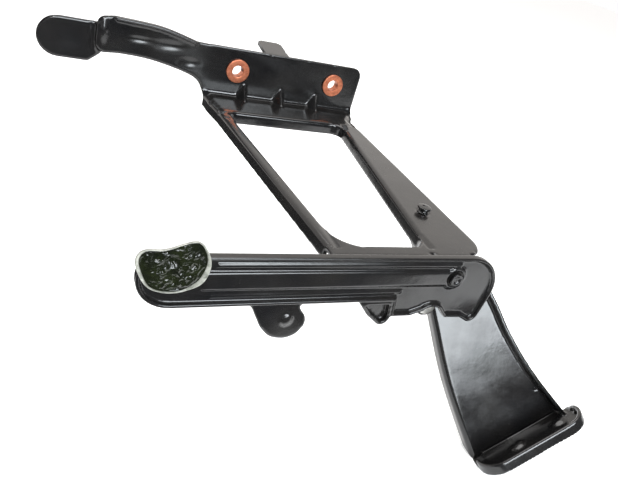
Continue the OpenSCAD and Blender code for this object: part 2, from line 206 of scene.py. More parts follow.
def makeRimPaint(look):
    material, tree, shader = newMaterial("wornRim", IOR=1.5, Coat_Weight=0.3, Coat_Roughness=0.15)
    wear = objectNoise(tree, 160, 6, 0.65)
    base = mixColors(tree, remap(tree, wear, 0.36, 0.66, 0, 1), look["bare"], look["grimy"])
    tree.links.new(base, shader.inputs["Base Color"])
    tree.links.new(remap(tree, wear, 0.3, 0.7, *look["gloss"]), shader.inputs["Roughness"])
    addBump(tree, shader, [(objectNoise(tree, 500, 4, 0.7), 0.3, 0.0004)])
    return material


enamel = makeEnamel(paintLook)
copper = makeCopper(copperLook)
zinc = makeZinc("dullZinc", (0.62, 0.62, 0.60), (0.33, 0.32, 0.30))
oilyZinc = makeZinc("oilyZinc", (0.055, 0.053, 0.05), (0.02, 0.019, 0.018))
rubber = makeRubber(rubberLook)
rimPaint = makeRimPaint(rimLook)
print("materials made")


# mesh helpers

# A welded copy of a CAD node's mesh
def nodeCopy(name):
    bm = bmesh.new()
    bm.from_mesh(nodes[name].data)
    bmesh.ops.remove_doubles(bm, verts=bm.verts, dist=1e-6)
    return bm


# The sharp outer edges whose middles pass wanted, each as two ends and the two faces' normals
def outerEdges(bm, wanted, sharp=0.6):
    bm.normal_update()
    found = []
    for e in bm.edges:
        middle = (e.verts[0].co + e.verts[1].co) / 2
        if len(e.link_faces) == 2 and e.is_convex and e.calc_face_angle(0) > sharp and wanted(middle):
            found.append([tuple(v.co) for v in e.verts] + [tuple(f.normal) for f in e.link_faces])
    return found


# The same edges, each stopped short by cut where it ends at one of the corners
def trimmed(edges, corners, cut, near=6 * mm):
    out = []
    for a, b, first, second in edges:
        a, b = Vector(a), Vector(b)
        way = (b - a).normalized()
        if any((a - Vector(c)).length < near for c in corners):
            a = a + way * cut
        if any((b - Vector(c)).length < near for c in corners):
            b = b - way * cut
        out.append([tuple(a), tuple(b), first, second])
    return out


# Pulls the points by each edge in onto a round of the given radius; a point follows its nearest edge
def rollEdges(co, edges, radius):
    if not edges:
        return co
    nearest = np.full(len(co), 1e9)
    goal = co.copy()
    for a, b, first, second in (map(np.array, e) for e in edges):
        along = b - a
        length = np.linalg.norm(along)
        along = along / length
        reach = (co - a) @ along
        u, w = -(co - a) @ first, -(co - a) @ second
        spare = radius * 0.2
        close = (reach > -spare) & (reach < length + spare) & (u > -radius) & (u < radius)
        close &= (w > -radius) & (w < radius)
        gap = np.hypot(u, w) + np.maximum(0, np.maximum(-reach, reach - length))
        close &= gap < nearest
        index = np.nonzero(close)[0]
        far = np.hypot(u[index] - radius, w[index] - radius)
        pull = np.minimum(1, radius / np.maximum(far, 1e-9))
        newU, newW = radius + (u[index] - radius) * pull, radius + (w[index] - radius) * pull
        goal[index] = co[index] - np.outer(newU - u[index], first) - np.outer(newW - w[index], second)
        nearest[index] = gap[index]
    return goal


# A closed solid: a loop of points and the same loop moved by way
def prism(loop, way):
    bm = bmesh.new()
    low = [bm.verts.new(p) for p in loop]
    high = [bm.verts.new(Vector(p) + Vector(way)) for p in loop]
    bm.faces.new(low[::-1])
    bm.faces.new(high)
    for i in range(len(loop)):
        j = (i + 1) % len(loop)
        bm.faces.new((low[i], low[j], high[j], high[i]))
    bmesh.ops.recalc_face_normals(bm, faces=bm.faces)
    return bm


# A small ellipsoid, sunk into a pressing before it is smoothed
def blob(center, size, turn=Matrix.Identity(4)):
    bm = bmesh.new()
    bmesh.ops.create_icosphere(bm, subdivisions=3, radius=1)
    bm.transform(Matrix.Translation(center) @ turn @ Matrix.Diagonal((*size, 1)))
    return bm


# All solids in one mesh; they are freed
def joined(solids):
    whole = bmesh.new()
    for bm in solids:
        part = bpy.data.meshes.new("part")
        bm.to_mesh(part)
        whole.from_mesh(part)
        bpy.data.meshes.remove(part)
        bm.free()
    return whole


# A smooth-shaded object of a mesh, in one material
def finished(name, mesh, material):
    piece = bpy.data.objects.new(name, mesh)
    bpy.context.scene.collection.objects.link(piece)
    mesh.materials.clear()
    mesh.materials.append(material)
    mesh.polygons.foreach_set("use_smooth", [True] * len(mesh.polygons))
    return piece


# Bakes the modifiers of a piece into its mesh
def applied(piece):
    ready = bpy.data.meshes.new_from_object(piece.evaluated_get(bpy.context.evaluated_depsgraph_get()))
    piece.modifiers.clear()
    old = piece.data
    piece.data = ready
    bpy.data.meshes.remove(old)
    return piece


# One smooth pressing out of several overlapping solids, its listed edges rolled to a radius
def pressed(name, solids, material, grain, passes, rolls=()):
    whole = joined(solids)
    mesh = bpy.data.meshes.new(name)
    whole.to_mesh(mesh)
    whole.free()
    piece = finished(name, mesh, material)
    remesh = piece.modifiers.new("remesh", "REMESH")
    remesh.mode = "VOXEL"
    remesh.voxel_size = grain
    remesh.use_smooth_shade = True
    applied(piece)
    co = points(piece)
    for edges, radius in rolls:
        co = rollEdges(co, edges, radius)
    setPoints(piece, co)
    ease = piece.modifiers.new("ease", "SMOOTH")
    ease.factor = 0.5
    ease.iterations = passes
    applied(piece)
    print(name, "pressed:", len(piece.data.polygons), "faces")
    return piece


def points(piece):
    co = np.zeros(len(piece.data.vertices) * 3)
    piece.data.vertices.foreach_get("co", co)
    return co.reshape(-1, 3)


def setPoints(piece, co):
    piece.data.vertices.foreach_set("co", co.ravel())
    piece.data.update()


# Puts a piece under its body and hides the CAD nodes it stands for
def keep(piece, body, slot, *replaced):
    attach(piece, body)
    if replaced:
        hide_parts(*replaced)
    return piece


# places taken from the frame

headLow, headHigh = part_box("head_plate")
sideLow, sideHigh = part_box("right_side_plate")
strutLow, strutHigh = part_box("left_strut")
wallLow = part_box("front_wall")[0]
webTop = sideHigh.z
flangeLow = sideLow.z
sheet = 3.2 * mm
ledgeFront = sideHigh.y
plateFront = headHigh.y - sheet


# frame pressing

# leverDents are millimetres: left of the plate, y, z, half width, half height, depth
framePlan = {"bend": 3.6 * mm, "strutBend": 3.4 * mm, "wallBend": 2.2 * mm, "leverBend": 1.9 * mm,
             "filletBend": 3 * mm, "grain": 0.95 * mm, "passes": 5,
             "farFillet": 9 * mm, "nearFillet": 24 * mm, "filletBack": 2 * mm,
             "strutLean": 10 * mm, "sideFar": 18 * mm, "sideNear": 49 * mm,
             "leverDents": [(36, -7, 13, 18, 5, 1.0), (17, -7, 1, 11, 5, 1.1), (62, -7, 14, 12, 3, 0.6),
                            (118, -3, 7, 20, 13, 0.8), (91, -7, 16, 4, 11, -1.7),
                            (99, -7, 14, 2.6, 14, 1.3)],
             "nicks": (-20 * mm, 18 * mm, 46 * mm), "wave": 0.35 * mm, "waveScale": 22}


# Fills a window corner with a web whose free edge is an arc
def cornerFillet(corner, along, across, radius):
    u, v = Vector(along).normalized(), Vector(across).normalized()
    half = u.angle(v) / 2
    center = Vector(corner) + (u + v).normalized() * radius / math.sin(half)
    start, end = Vector(corner) + u * radius / math.tan(half), Vector(corner) + v * radius / math.tan(half)
    a, b = start - center, end - center
    arc = [center + a.normalized().slerp(b.normalized(), i / 8) * radius for i in range(9)]
    back = Vector(corner) - (u + v).normalized() * framePlan["filletBack"]
    return prism([(p.x, p.y, flangeLow) for p in [back, *arc]], (0, 0, webTop - flangeLow))


# far left, far right, near left, near right
windowCorners = [(strutLow.x + framePlan["strutLean"], ledgeFront, webTop),
                 (sideHigh.x - framePlan["sideFar"], ledgeFront, webTop),
                 (strutHigh.x, strutLow.y, webTop),
                 (sideHigh.x - framePlan["sideNear"], strutLow.y, webTop)]


def windowFillets(plan):
    farLeft, farRight, nearLeft, nearRight = (Vector(c) for c in windowCorners)
    left, right = nearLeft - farLeft, nearRight - farRight
    return [cornerFillet(farLeft, left, (1, 0, 0), plan["farFillet"] * 0.6),
            cornerFillet(farRight, right, (-1, 0, 0), plan["farFillet"]),
            cornerFillet(nearLeft, -left, (1, 0, 0), plan["nearFillet"]),
            cornerFillet(nearRight, -right, (-1, 0, 0), plan["nearFillet"] * 0.7)]


# The short skirts at both ends of the ledge, from the plate down to the window's far edge
def ledgeFlanges():
    solids = []
    left = [(headLow.x, plateFront - 3 * mm), (headLow.x + 1 * mm, plateFront - 22 * mm),
            (strutLow.x, ledgeFront - 1 * mm)]
    right = [(headHigh.x, plateFront - 3 * mm), (headHigh.x - 5 * mm, plateFront - 16 * mm),
             (sideHigh.x, plateFront - 27 * mm), (sideHigh.x, ledgeFront - 1 * mm)]
    for route, inward in ((left, sheet), (right, -sheet)):
        for (x0, y0), (x1, y1) in zip(route, route[1:]):
            loop = [(x0, y0, flangeLow), (x1, y1, flangeLow), (x1 + inward, y1, flangeLow),
                    (x0 + inward, y0, flangeLow)]
            solids.append(prism(loop, (0, 0, webTop - flangeLow - 0.4 * mm)))
    return solids


# Moves the points near center by depth along axis, with a soft edge
def dent(co, center, size, depth, axis):
    away = (co - np.array(center)) / np.array(size)
    co += np.exp(-(away ** 2).sum(1) * 1.6)[:, None] * np.array(axis) * depth
    return co


def makeFramePressing(plan):
    isTop = lambda p: p.z > webTop - 1e-5
    strut, side, wall = nodeCopy("left_strut"), nodeCopy("right_side_plate"), nodeCopy("front_wall")
    lever, paddle = nodeCopy("step_lever"), nodeCopy("lever_paddle")
    strutEdges = outerEdges(strut, lambda p: isTop(p) and strutLow.y + 1e-3 < p.y < strutHigh.y - 1e-3)
    sideEdges = outerEdges(side, lambda p: isTop(p) and sideLow.y + 2e-3 < p.y < sideHigh.y - 1e-3)
    rolls = [(trimmed(strutEdges, windowCorners, plan["nearFillet"] * 0.9), plan["strutBend"]),
             (trimmed(sideEdges, windowCorners, plan["nearFillet"] * 0.6), plan["bend"]),
             (outerEdges(wall, lambda p: isTop(p) and p.y < wallLow.y + 1e-5), plan["wallBend"]),
             (outerEdges(lever, lambda p: p.x < headLow.x - 3 * mm), plan["leverBend"]),
             (outerEdges(paddle, lambda p: True), plan["leverBend"])]
    skirts = ledgeFlanges()
    for skirt in skirts:
        rolls.append((outerEdges(skirt, lambda p: p.z > webTop - 1e-3), plan["filletBend"]))
    fillets = windowFillets(plan)
    for fillet, corner in zip(fillets, windowCorners):
        isArc = lambda p: (isTop(p) and (p - Vector(corner)).length > 3 * mm
                           and strutLow.y + 1 * mm < p.y < ledgeFront - 1 * mm)
        rolls.append((outerEdges(fillet, isArc), plan["filletBend"]))
    solids = [nodeCopy("head_plate"), strut, side, wall, lever, paddle] + fillets + skirts
    piece = pressed("framePressing", solids, enamel, plan["grain"], plan["passes"], rolls)
    co = points(piece)
    for left, y, z, halfWidth, halfHeight, depth in plan["leverDents"]:
        dent(co, (headLow.x - left * mm, y * mm, z * mm), (halfWidth * mm, 9 * mm, halfHeight * mm),
             depth * mm, (0, 1, 0))
    strutMark = (-70 * mm, -63 * mm, webTop)
    dent(co, strutMark, (3 * mm, 3 * mm, 5 * mm), 0.8 * mm, (0, 0, -1))
    for x in plan["nicks"]:  # along the plate's top edge
        dent(co, (x, plateFront, headHigh.z), (1.6 * mm, 2.5 * mm, 1.6 * mm), 0.7 * mm, (0, 0, -1))
    wave = np.array([noise.noise(Vector(p) * plan["waveScale"]) for p in co])
    onPlate = co[:, 1] > -9 * mm
    co[:, 1] += wave * plan["wave"] * onPlate
    setPoints(piece, co)
    return keep(piece, "frame", "black_paint", "head_plate", "left_strut", "right_side_plate",
                "front_wall", "step_lever", "lever_paddle")


makeFramePressing(framePlan)


# leg and foot

# lipTail is the lip's end as y and height, crumples are spots on the sole, in millimetres
legPlan = {"lean": 32, "splay": 34, "length": 182 * mm, "grain": 0.9 * mm, "passes": 9, "bend": 4.2 * mm,
           "farBend": 2.6 * mm, "lipBend": 1.4 * mm, "cove": 7,
           "lipTail": [(-11, -2.6), (-11, 6), (-8, 5.9), (-5, 4.4), (-2, 2.2), (1, 0.6), (2.8, 0),
                       (2.8, -2.6)],
           "crumples": [(-12, -11), (25, -10)], "mark": (24 * mm, 0, -153.6 * mm)}
legRoot = Vector((sideHigh.x - 30 * mm, wallLow.y + 40 * mm, webTop))
legTurn = (Matrix.Rotation(-math.radians(legPlan["splay"]), 4, "Y")
           @ Matrix.Rotation(-math.radians(legPlan["lean"]), 4, "X"))
legPlace = Matrix.Translation(legRoot) @ legTurn
legBack = legPlace.inverted()


def makeLegAndFoot(plan):
    sole = -plan["length"]
    spin = legTurn.to_3x3()
    inLeg = lambda p: legBack @ p
    leg, foot = nodeCopy("right_leg"), nodeCopy("foot_plate")
    isNearFlange = lambda p: abs(inLeg(p).y) < 1e-4 and inLeg(p).x < 0 and inLeg(p).z < -20 * mm
    isFarFlange = lambda p: abs(inLeg(p).y - sheet) < 1e-4 and inLeg(p).x > 0 and inLeg(p).z < -30 * mm
    isLip = lambda p: inLeg(p).z > sole + 2 * mm and inLeg(p).y < -3 * mm
    rolls = [(outerEdges(leg, isNearFlange), plan["bend"]), (outerEdges(leg, isFarFlange), plan["farBend"]),
             (outerEdges(foot, isLip), plan["lipBend"])]
    cove = plan["cove"]
    arc = [(cove * (math.cos(a) - 1), cove * (1 - math.sin(a))) for a in np.linspace(0, math.pi / 2, 8)]
    loop = [legPlace @ Vector((-36 * mm, y * mm, sole + z * mm)) for y, z in [(0.6, -0.6), *arc]]
    tail = [legPlace @ Vector((40.9 * mm, y * mm, sole + z * mm)) for y, z in plan["lipTail"]]
    solids = [leg, foot, prism(loop, spin @ Vector((67 * mm, 0, 0)))]
    for x, y in plan["crumples"]:
        big, small = Vector((x * mm, y * mm, sole + 0.4 * mm)), Vector((4 * mm, 1.6 * mm, 0.2 * mm))
        solids.append(blob(legPlace @ big, (6 * mm, 3.4 * mm, 1.9 * mm), legTurn))
        solids.append(blob(legPlace @ (big + small), (3.4 * mm, 2.6 * mm, 1.6 * mm), legTurn))
    solids.append(prism(tail, spin @ Vector((3.4 * mm, 0, 0))))
    piece = pressed("legAndFoot", solids, enamel, plan["grain"], plan["passes"], rolls)
    local = points(piece) @ np.array(legBack.to_3x3()).T + np.array(legBack.translation)
    end = (local[:, 0] > 36 * mm) & (local[:, 1] > -12 * mm) & (local[:, 2] < sole + 10 * mm)
    piece.vertex_groups.new(name="lipEnd").add(np.nonzero(end)[0].tolist(), 1, "REPLACE")
    ease = piece.modifiers.new("lipEase", "SMOOTH")
    ease.vertex_group = "lipEnd"
    ease.iterations = 14
    applied(piece)
    piece.vertex_groups.clear()
    co = points(piece)
    dent(co, legPlace @ Vector(plan["mark"]), (1.6 * mm,) * 3, 1.5 * mm, spin @ Vector((0, 1, 0)))
    setPoints(piece, co)
    return keep(piece, "frame", "black_paint", "right_leg", "foot_plate")


makeLegAndFoot(legPlan)


# arm pressing

# beads are ribs along the plate: height above the pivot, half width, rise, and where they end
armPlan = {"grain": 0.75 * mm, "passes": 4, "faceBend": 1.6 * mm, "rimBend": 1.0 * mm,
           "beads": [(10.4 * mm, 1.9 * mm, 1.3 * mm, 1.5 * mm), (-11.2 * mm, 1.0 * mm, 0.7 * mm, -40 * mm)]}
armLow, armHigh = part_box("arm_plate")
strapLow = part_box("arm_strap")[0]
sleeveLow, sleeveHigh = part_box("arm_sleeve")
pivot = (sleeveLow + sleeveHigh) / 2


def makeArm(plan):
    face = armHigh.y - sheet
    rimFront = armLow.y
    plate, lug, strap, ear = (nodeCopy(name) for name in ("arm_plate", "arm_lug", "arm_strap", "ear_tab"))
    rolls = [(outerEdges(plate, lambda p: p.y > armHigh.y - 1e-5), plan["faceBend"]),
             (outerEdges(plate, lambda p: p.y < rimFront + 1e-5), plan["rimBend"]),
             (outerEdges(ear, lambda p: p.z < armLow.z), plan["faceBend"])]
    solids = [plate, lug, strap, ear]
    root, left = face + 0.5 * mm, strapLow.x + 6 * mm
    for above, half, rise, past in plan["beads"]:
        z, crest = pivot.z + above, face - rise
        loop = [(left, root, z - half), (left, crest, z - half * 0.6), (left, crest, z + half * 0.6),
                (left, root, z + half)]
        solids.append(prism(loop, (pivot.x + past - left, 0, 0)))
    earLow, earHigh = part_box("ear_tab")
    dimple = (earHigh.x - 14 * mm, earLow.y - 0.4 * mm, earLow.z + 16 * mm)
    solids.append(blob(dimple, (4 * mm, 1.4 * mm, 4.5 * mm)))
    piece = pressed("armPressing", solids, enamel, plan["grain"], plan["passes"], rolls)
    return keep(piece, "arm", "black_paint", "arm_plate", "arm_lug", "arm_strap", "ear_tab")


makeArm(armPlan)


# pad

padPlan = {"rays": 128, "rings": 44, "shellScale": 18 / 16, "rimLift": 0.7 * mm, "wrinkle": 1.6 * mm,
           "crease": 0.35 * mm, "dish": 1.2 * mm, "hollow": 2.2 * mm, "hollowReach": 3.6 * mm}


# The pad's edge, as radii for evenly spaced angles about its middle, read off the CAD pad
def padOutline():
    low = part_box("foot_pad")[0]
    rivetLow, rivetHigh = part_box("pad_rivet")
    center = (rivetLow + rivetHigh) / 2
    co = np.array([v.co for v in nodes["foot_pad"].data.vertices])
    rim = co[co[:, 1] < low.y + 1e-5]
    x, z = rim[:, 0] - center.x, rim[:, 2] - center.z
    outer = np.hypot(x, z) > 6 * mm
    angle, radius = np.arctan2(z[outer], x[outer]), np.hypot(x, z)[outer]
    order = np.argsort(angle)
    return center, low, angle[order], radius[order]


padCenter, padLow, padAngles, padRadii = padOutline()
padFront = padLow.y + 1 * mm
angles = np.linspace(-math.pi, math.pi, padPlan["rays"], endpoint=False)
padEdge = np.interp(angles, padAngles, padRadii, period=2 * math.pi)
# how far out the rim's inner edge stands, as a share of the pad's edge: wider at one side
rimInner = 0.965 - 0.12 * np.exp(-((angles + 0.4) / 0.7) ** 2) - 0.06 * np.clip(-np.cos(angles), 0, 1) ** 3


# Skins a stack of rings, each a list of points, and closes both ends on a middle point
def ringMesh(name, rings, material, closeBack):
    bm = bmesh.new()
    loops = [[bm.verts.new(p) for p in ring] for ring in rings]
    count = len(loops[0])
    for a, b in zip(loops, loops[1:]):
        for i in range(count):
            j = (i + 1) % count
            bm.faces.new((a[i], a[j], b[j], b[i]))
    for loop in (loops[0], loops[-1]) if closeBack else (loops[-1],):
        middle = bm.verts.new(sum((v.co for v in loop), Vector()) / count)
        for i in range(count):
            bm.faces.new((loop[i], loop[(i + 1) % count], middle))
    bmesh.ops.recalc_face_normals(bm, faces=bm.faces)
    mesh = bpy.data.meshes.new(name)
    bm.to_mesh(mesh)
    bm.free()
    return finished(name, mesh, material)


# A ring at a share of the shell's edge, at the depth y; both may differ by ray
def padRing(ratio, y):
    ratio = np.broadcast_to(ratio, angles.shape)
    y = np.broadcast_to(y, angles.shape)
    return [(padCenter.x + r * k * math.cos(a), float(h), padCenter.z + r * k * math.sin(a))
            for a, r, k, h in zip(angles, padEdge * padPlan["shellScale"], ratio, y)]


def makePadShell(plan):
    front, back = padFront, armLow.y
    bumps = np.array([noise.noise(Vector((math.cos(a) * 2, math.sin(a) * 2, 3))) for a in angles])
    lift = bumps * plan["rimLift"]
    rings = [padRing(0.62, back - 0.1 * mm), padRing(0.70, back - 0.6 * mm), padRing(0.74, back - 2 * mm),
             padRing(0.90, front + 3.0 * mm), padRing(0.985, front + 1.6 * mm + lift),
             padRing(1.0, front + 0.7 * mm + lift), padRing(0.99, front + lift),
             padRing(rimInner * 0.5 + 0.49, front - 0.1 * mm + lift),
             padRing(rimInner, front + 0.35 * mm + lift),
             padRing(rimInner - 0.02, front + 1.1 * mm), padRing(rimInner - 0.03, front + 2.0 * mm)]
    piece = ringMesh("padShell", rings, rimPaint, True)
    piece.modifiers.new("round", "SUBSURF").levels = 2
    piece.modifiers["round"].render_levels = 2
    return keep(applied(piece), "arm", "pad_shell", "pad_cup")


# How far back the pad's skin lies at a point, on a ring that is a share of the way in
def padDepth(plan, x, z, share, fade):
    place = Vector((x, 0, z))
    fold = abs(noise.noise(place * 120)) + 0.6 * abs(noise.noise(place * 260 + Vector((0, 7, 0))))
    crease = abs(noise.noise(place * 600 + Vector((3, 0, 0))))
    away = (x - padCenter.x + 1 * mm) ** 2 + (z - padCenter.z - 4.5 * mm) ** 2
    hollow = math.exp(-away / plan["hollowReach"] ** 2) * plan["hollow"]
    dish = plan["dish"] * (1 - share) ** 6
    return padFront - 0.9 * mm + dish + (fold * plan["wrinkle"] + crease * plan["crease"]) * fade + hollow


def makeRubberPad(plan):
    edge = rimInner - 0.012
    rings = [padRing(edge, padFront + 1.8 * mm)]
    for i in range(plan["rings"]):
        share = i / plan["rings"]
        rings.append([(x, padDepth(plan, x, z, share, min(1.0, i / 4)), z)
                      for x, _, z in padRing(edge * (1 - share), 0.0)])
    piece = ringMesh("wrinkledPad", rings, rubber, True)
    piece.modifiers.new("round", "SUBSURF").levels = 1
    piece.modifiers["round"].render_levels = 1
    return keep(applied(piece), "arm", "pad_rubber", "foot_pad")


makePadShell(padPlan)
wrinkledPad = makeRubberPad(padPlan)
print("pad made")


# turned parts

axisGap = 0.01 * mm  # a profile's ends stay this far off the axis


# Spins a profile of (radius, height) pairs about axis, and closes it
def turned(name, axisPoint, axis, profile, material, steps=56):
    z = Vector(axis).normalized()
    x = z.orthogonal().normalized()
    y = z.cross(x)
    bm = bmesh.new()
    loops = []
    for radius, height in profile:
        ring = [Vector(axisPoint) + z * height + (x * math.cos(t) + y * math.sin(t)) * radius
                for t in np.linspace(0, 2 * math.pi, steps, endpoint=False)]
        loops.append([bm.verts.new(p) for p in ring])
    hollow = profile[0][0] > 0.05 * mm and profile[0] == profile[-1]
    if hollow:
        loops[-1] = loops[0]
    for a, b in zip(loops, loops[1:]):
        for i in range(steps):
            j = (i + 1) % steps
            bm.faces.new((a[i], a[j], b[j], b[i]))
    if not hollow:
        for loop in (loops[0], loops[-1]):
            bm.faces.new(loop)
    loose = [v for v in bm.verts if not v.link_faces]
    bmesh.ops.delete(bm, geom=loose, context="VERTS")
    bmesh.ops.recalc_face_normals(bm, faces=bm.faces)
    mesh = bpy.data.meshes.new(name)
    bm.to_mesh(mesh)
    bm.free()
    return finished(name, mesh, material)


# A profile with each corner rounded off; corners are (radius, height) pairs of a closed loop
def roundedProfile(corners, radius, steps=4):
    out = []
    count = len(corners)
    for i in range(count):
        p, c, n = (Vector(corners[(i + k) % count]) for k in (-1, 0, 1))
        a, b = (p - c), (n - c)
        cut = min(radius, a.length * 0.45, b.length * 0.45)
        start, end = c + a.normalized() * cut, c + b.normalized() * cut
        for k in range(steps + 1):
            t = k / steps
            q = start * (1 - t) ** 2 + c * 2 * t * (1 - t) + end * t ** 2
            out.append((q.x, q.y))
    return out + [out[0]]


bushPlan = {"bore": 5.25 * mm, "body": 7.5 * mm, "flange": 11 * mm, "flangeThick": 2 * mm, "round": 0.6 * mm}


def makeBush(name, node, plan):
    low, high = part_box(node)
    front = ((low.x + high.x) / 2, low.y, (low.z + high.z) / 2)
    length = high.y - low.y
    corners = [(plan["bore"], 0), (plan["flange"], 0), (plan["flange"], plan["flangeThick"]),
               (plan["body"], plan["flangeThick"]), (plan["body"], length), (plan["bore"], length)]
    bush = turned(name, front, (0, 1, 0), roundedProfile(corners, plan["round"]), copper)
    return keep(bush, "frame", "copper_bush", node)


makeBush("leftBush", "left_bush", bushPlan)
makeBush("rightBush", "right_bush", bushPlan)


studPlan = {"shank": 3 * mm, "collar": 5 * mm, "neck": 3.7 * mm, "head": 5.5 * mm, "cup": 1.6 * mm,
            "cupDepth": 0.7 * mm, "round": 0.5 * mm}


def makeStud(plan):
    low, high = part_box("spring_stud")
    middle = ((low.x + high.x) / 2, (low.y + high.y) / 2, low.z)
    web = webTop - low.z
    tall = high.z - low.z
    cup = tall - plan["cupDepth"]
    corners = [(axisGap, 0), (plan["shank"], 0), (plan["shank"], web), (plan["collar"], web + 0.1 * mm),
               (plan["neck"], web + 1.2 * mm), (plan["neck"], tall - 2 * mm), (plan["head"], tall - 1.8 * mm),
               (plan["head"] - 0.2 * mm, tall - 0.4 * mm), (plan["cup"] + 0.6 * mm, tall), (plan["cup"], cup),
               (axisGap, cup)]
    profile = roundedProfile(corners, plan["round"])[:-1]
    stud = turned("springStud", middle, (0, 0, 1), profile, enamel)
    return keep(stud, "frame", "black_paint", "spring_stud")


makeStud(studPlan)


# A shallow dome's profile, from its middle out to its edge
def domed(reach, rise, steps=8):
    turns = np.linspace(0, math.pi / 2, steps)
    return [(max(reach * math.sin(t), axisGap), -rise * math.cos(t)) for t in turns]


stopPlan = {"head": 2 * mm, "shank": 3.5 * mm}


def makeStopRivet(plan):
    low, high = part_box("stop_rivet")
    x, z = (low.x + high.x) / 2, (low.z + high.z) / 2
    reach, head, shank = (high.x - low.x) / 2, plan["head"], plan["shank"]
    grip = high.y - low.y - 2 * head
    front = domed(reach, head)
    back = [(r, grip - h) for r, h in reversed(front)]
    profile = front + [(shank, 0), (shank, grip)] + back
    rivet = turned("stopRivet", (x, low.y + head, z), (0, 1, 0), profile, zinc)
    return keep(rivet, "frame", "zinc", "stop_rivet")


makeStopRivet(stopPlan)


pinPlan = {"shank": 4 * mm, "head": 5 * mm, "cup": 2.0 * mm, "rearHead": 6 * mm, "rearThick": 1.6 * mm,
           "round": 0.5 * mm}


def makePivotPin(plan):
    low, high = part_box("pivot_pin")
    shank, cup, length = plan["shank"], plan["cup"], high.y - low.y
    rear = length - plan["rearThick"]
    corners = [(axisGap, 0.8 * mm), (cup, 0.9 * mm), (cup + 0.8 * mm, 0.1 * mm), (plan["head"] - 0.3 * mm, 0),
               (plan["head"], 1.8 * mm), (shank, 1.9 * mm), (shank, rear), (plan["rearHead"], rear),
               (plan["rearHead"] - 0.6 * mm, length), (axisGap, length)]
    profile = roundedProfile(corners, plan["round"])[:-1]
    pin = turned("pivotPin", (pivot.x, low.y, pivot.z), (0, 1, 0), profile, enamel)
    return keep(pin, "frame", "black_paint", "pivot_pin")


makePivotPin(pinPlan)


padRivetPlan = {"shank": 3 * mm, "head": 1.5 * mm, "taper": 0.85, "sunk": 4.6 * mm, "round": 0.4 * mm}


def makePadRivet(plan):
    low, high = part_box("pad_rivet")
    front = padLow.y + plan["sunk"]
    reach, length = (high.x - low.x) / 2, high.y - padLow.y - plan["sunk"]
    corners = [(axisGap, 0), (plan["shank"], 0), (plan["shank"], length - plan["head"]),
               (reach, length - plan["head"] + 0.1 * mm), (reach * plan["taper"], length), (axisGap, length)]
    profile = roundedProfile(corners, plan["round"])[:-1]
    rivet = turned("padRivet", (padCenter.x, front, padCenter.z), (0, 1, 0), profile, zinc)
    return keep(rivet, "arm", "zinc", "pad_rivet")


makePadRivet(padRivetPlan)
print("turned parts made")


# weld beads, as a node tree that strings drops along a path

weldPlan = {"Pitch": 1.5 * mm, "Width": 2.2 * mm, "Height": 1.3 * mm}


def weldTree(plan):
    tree = bpy.data.node_groups.new("weldBead", "GeometryNodeTree")
    face = tree.interface
    face.new_socket("Geometry", in_out="INPUT", socket_type="NodeSocketGeometry")
    for name, value in plan.items():
        face.new_socket(name, in_out="INPUT", socket_type="NodeSocketFloat").default_value = value
    face.new_socket("Seed", in_out="INPUT", socket_type="NodeSocketInt").default_value = 3
    face.new_socket("Paint", in_out="INPUT", socket_type="NodeSocketMaterial")
    face.new_socket("Geometry", in_out="OUTPUT", socket_type="NodeSocketGeometry")
    put = tree.nodes.new
    source, sink = put("NodeGroupInput"), put("NodeGroupOutput")
    curve, spots = put("GeometryNodeMeshToCurve"), put("GeometryNodeCurveToPoints")
    spots.mode = "LENGTH"
    drop, shape = put("GeometryNodeMeshIcoSphere"), put("ShaderNodeCombineXYZ")
    drop.inputs["Subdivisions"].default_value = 2
    drop.inputs["Radius"].default_value = 1.0
    vary = put("FunctionNodeRandomValue")
    vary.inputs[2].default_value, vary.inputs[3].default_value = 0.85, 1.15
    scaled = put("ShaderNodeVectorMath")
    scaled.operation = "SCALE"
    strung, real, paint = (put("GeometryNodeInstanceOnPoints"), put("GeometryNodeRealizeInstances"),
                           put("GeometryNodeSetMaterial"))
    link = tree.links.new
    link(source.outputs["Geometry"], curve.inputs["Mesh"])
    link(curve.outputs["Curve"], spots.inputs["Curve"])
    link(source.outputs["Pitch"], spots.inputs["Length"])
    link(source.outputs["Seed"], vary.inputs["Seed"])
    for axis, name in (("X", "Width"), ("Y", "Width"), ("Z", "Height")):
        link(source.outputs[name], shape.inputs[axis])
    link(shape.outputs["Vector"], scaled.inputs[0])
    link(vary.outputs[1], scaled.inputs["Scale"])
    link(spots.outputs["Points"], strung.inputs["Points"])
    link(drop.outputs["Mesh"], strung.inputs["Instance"])
    link(spots.outputs["Rotation"], strung.inputs["Rotation"])
    link(scaled.outputs["Vector"], strung.inputs["Scale"])
    link(strung.outputs["Instances"], real.inputs["Geometry"])
    link(real.outputs["Geometry"], paint.inputs["Geometry"])
    link(source.outputs["Paint"], paint.inputs["Material"])
    link(paint.outputs["Geometry"], sink.inputs["Geometry"])
    return tree


weldGroup = weldTree(weldPlan)


# Strings a bead along each path, a list of points
def weldBead(name, body, paths, seed):
    mesh = bpy.data.meshes.new(name)
    co, edges = [], []
    for path in paths:
        edges += [(len(co) + i, len(co) + i + 1) for i in range(len(path) - 1)]
        co += [tuple(p) for p in path]
    mesh.from_pydata(co, edges, [])
    bead = bpy.data.objects.new(name, mesh)
    bpy.context.scene.collection.objects.link(bead)
    modifier = bead.modifiers.new("weld", "NODES")
    modifier.node_group = weldGroup
    sockets = {s.name: s.identifier for s in weldGroup.interface.items_tree if s.in_out == "INPUT"}
    modifier[sockets["Seed"]] = seed
    modifier[sockets["Paint"]] = enamel
    applied(bead)
    bead.data.polygons.foreach_set("use_smooth", [True] * len(bead.data.polygons))
    return keep(bead, body, "black_paint")


